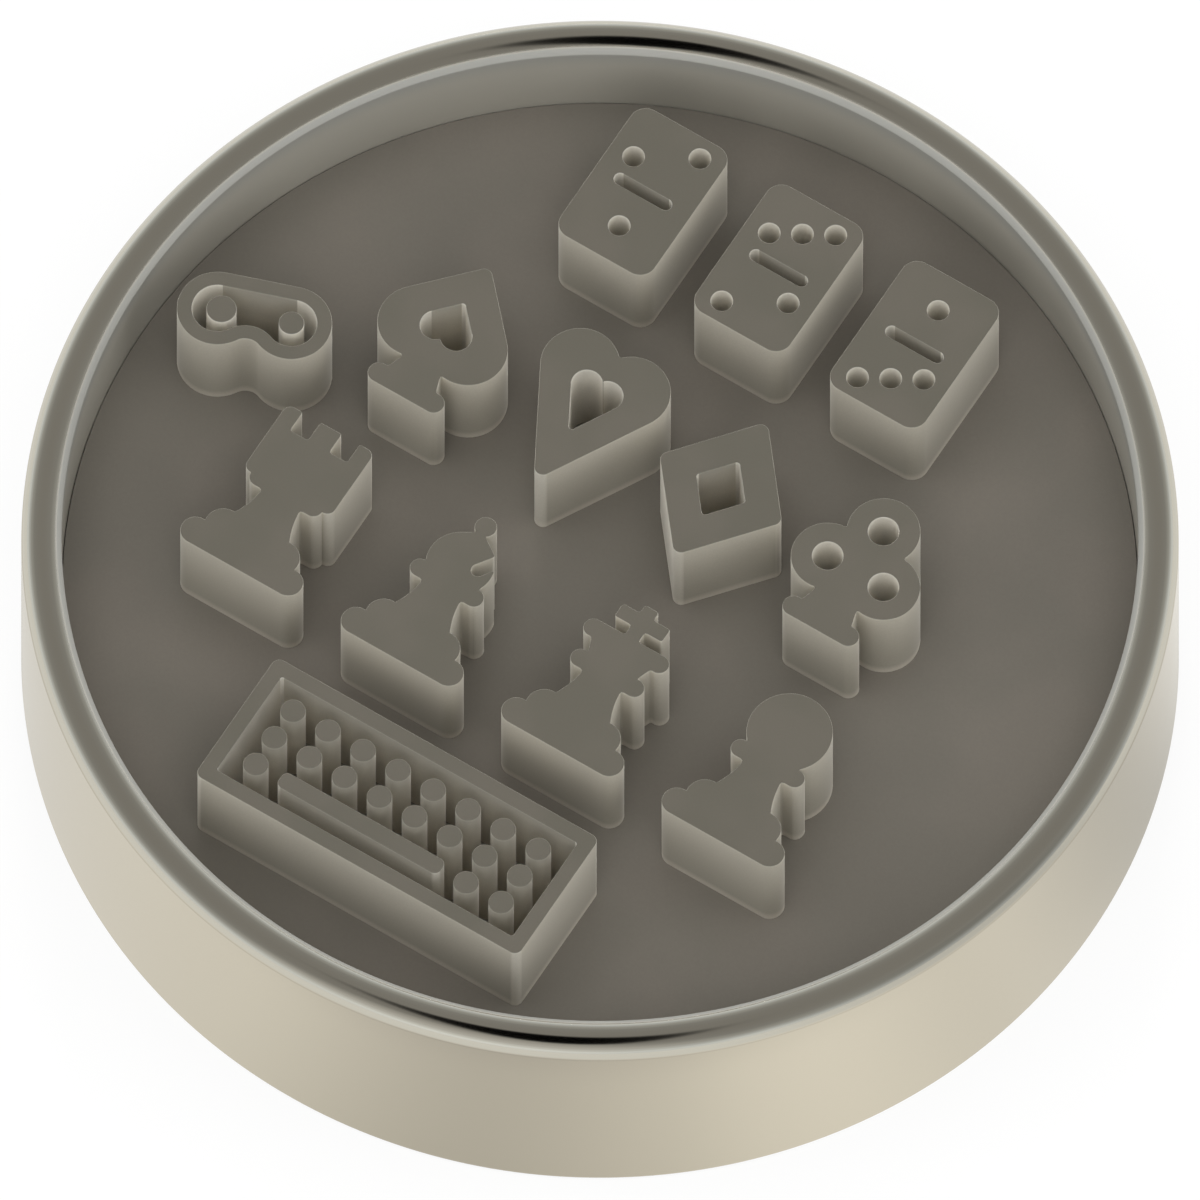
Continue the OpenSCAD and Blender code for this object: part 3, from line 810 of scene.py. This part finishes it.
def light_tent(scene, azimuth):
    """White tent that is brightest and coolest low down, with a pale window low in front, a grey flag low
    on the right and a dark slot above, in line with the camera. The slot is the ellipse
    (across / width)^2 + (along / length)^2 = 1 of the way out, about its middle, with a soft edge."""
    stops = (
        (0.0, (0.84, 0.90, 0.98)), (0.12, (0.80, 0.86, 0.93)), (0.30, (0.56, 0.595, 0.63)),
        (0.48, (0.40, 0.415, 0.425)), (0.70, (0.30, 0.305, 0.31)), (0.92, (0.28, 0.28, 0.28)),
    )
    window_azimuth, window_elevation = azimuth - radians(20), radians(26)
    window_outer, window_inner, window_level = radians(38), radians(8), 0.22
    flag_azimuth, flag_elevation = azimuth + radians(64), radians(8)
    flag_outer, flag_inner, flag_level = radians(42), radians(10), 0.62
    slot_width, slot_length = 0.17, 0.37
    slot_start, slot_end = 0.8, 1.15
    across, along = -0.06, 0.21
    slot_middle = (
        across * cos(azimuth) + along * sin(azimuth), across * sin(azimuth) - along * cos(azimuth), 0.0,
    )
    world = bpy.data.worlds.new("light_tent")
    scene.world = world
    tree = Surroundings(world)
    way = tree.add("ShaderNodeTexCoord").outputs["Generated"]
    ramp = tree.add("ShaderNodeValToRGB", {"Fac": tree.parts(way)[2]})
    ramp.color_ramp.interpolation = "EASE"
    while len(ramp.color_ramp.elements) < len(stops):
        ramp.color_ramp.elements.new(1.0)
    for element, (height, level) in zip(ramp.color_ramp.elements, stops):
        element.position = height
        element.color = (*level, 1.0)
    window = tree.spot(
        way, window_azimuth, window_elevation, window_outer, window_inner, 0.0, window_level,
    )
    cloth = tree.add("ShaderNodeMix", data_type="RGBA", blend_type="ADD")
    tree.feed(cloth.inputs[0], window)
    tree.feed(cloth.inputs[6], ramp.outputs[0])
    tree.feed(cloth.inputs[7], (1.0, 1.0, 1.0, 1.0))
    flag = tree.spot(way, flag_azimuth, flag_elevation, flag_outer, flag_inner, 1.0, flag_level)
    slot = tree.add("ShaderNodeMapping", {
        "Vector": way, "Location": slot_middle, "Rotation": (0.0, 0.0, azimuth),
        "Scale": (slot_width, slot_length, 1.0),
    }, vector_type="TEXTURE").outputs[0]
    flat = tree.add("ShaderNodeVectorMath", {0: slot, 1: (1.0, 1.0, 0.0)}, operation="MULTIPLY").outputs[0]
    reach = tree.add("ShaderNodeVectorMath", {0: flat}, operation="LENGTH").outputs["Value"]
    strength = tree.math("MULTIPLY", tree.between(reach, slot_start, slot_end), flag)
    tent = tree.add("ShaderNodeBackground", {"Color": cloth.outputs[2], "Strength": strength})
    tree.add("ShaderNodeOutputWorld", {"Surface": tent.outputs[0]})


def soft_light(name, azimuth, elevation, size, power, aim):
    """Square soft light at a bearing about the token, facing the aim."""
    distance = 360 * MM
    light = bpy.data.lights.new(name, "AREA")
    light.size = size
    light.energy = power
    away = heading(azimuth, elevation)
    lamp = bpy.data.objects.new(name, light)
    lamp.location = aim + distance * away
    lamp.rotation_euler = away.to_track_quat("Z", "Y").to_euler()
    lamp.visible_glossy = False
    bpy.context.scene.collection.objects.link(lamp)


def view_camera(stage, aim):
    """Camera without perspective at its bearing about the aim, upright in the view."""
    distance = 250 * MM
    right = Vector((cos(stage.azimuth), sin(stage.azimuth), 0.0))
    back = heading(stage.azimuth, stage.elevation)
    up = back.cross(right)
    lens = bpy.data.cameras.new("view")
    lens.type = "ORTHO"
    lens.ortho_scale = stage.view_width
    lens.clip_start = 1 * MM
    camera = bpy.data.objects.new("view", lens)
    turn = Matrix((right, up, back)).transposed().to_4x4()
    camera.matrix_world = Matrix.Translation(aim + distance * back) @ turn
    bpy.context.scene.collection.objects.link(camera)
    return camera


class TOKEN_OT_stage(bpy.types.Operator):
    """Set the floor, the light tent, the soft lights and the camera"""

    bl_idname = "token.stage"
    bl_label = "Stage"
    bl_options = {"REGISTER", "UNDO"}

    def execute(self, context):
        scene = context.scene
        stage = scene.token_stage
        aim = Vector((0.0, 0.0, stage.aim_height))
        floor = studio_floor(stage)
        floor.data.materials.append(floor_paper(stage))
        light_tent(scene, stage.azimuth)
        for name, bearing, height, size, power in LIGHTS:
            soft_light(name, stage.azimuth + radians(bearing), radians(height), size, power, aim)
        scene.camera = view_camera(stage, aim)
        scene.view_settings.view_transform = "Standard"
        return {"FINISHED"}


OPERATORS = (
    TOKEN_OT_stage,
    TOKEN_OT_case,
    TOKEN_OT_face_disc,
    TOKEN_OT_dominoes,
    TOKEN_OT_suits,
    TOKEN_OT_chess_pieces,
    TOKEN_OT_gamepad,
    TOKEN_OT_keyboard,
)


class TOKEN_PT_panel(bpy.types.Panel):
    """Sizes, finishes and making steps of the token"""

    bl_idname = "TOKEN_PT_panel"
    bl_label = "Game Token"
    bl_space_type = "VIEW_3D"
    bl_region_type = "UI"
    bl_category = "Token"

    def draw(self, context):
        for group in (context.scene.token_sizes, context.scene.token_finish, context.scene.token_stage):
            column = self.layout.column()
            for key in group.__annotations__:
                column.prop(group, key)
        for operator in OPERATORS:
            self.layout.operator(operator.bl_idname)


GROUPS = (("token_sizes", TokenSizes), ("token_finish", TokenFinish), ("token_stage", TokenStage))


def register():
    for name, group in GROUPS:
        bpy.utils.register_class(group)
        setattr(bpy.types.Scene, name, PointerProperty(type=group))
    for operator in OPERATORS:
        bpy.utils.register_class(operator)
    bpy.utils.register_class(TOKEN_PT_panel)


def unregister():
    bpy.utils.unregister_class(TOKEN_PT_panel)
    for operator in reversed(OPERATORS):
        bpy.utils.unregister_class(operator)
    for name, group in reversed(GROUPS):
        delattr(bpy.types.Scene, name)
        bpy.utils.unregister_class(group)


def main():
    register()
    bpy.ops.token.stage()
    bpy.ops.token.case()
    bpy.ops.token.face_disc()
    bpy.ops.token.dominoes()
    bpy.ops.token.suits()
    bpy.ops.token.chess_pieces()
    bpy.ops.token.gamepad()
    bpy.ops.token.keyboard()


if __name__ == "__main__":
    main()
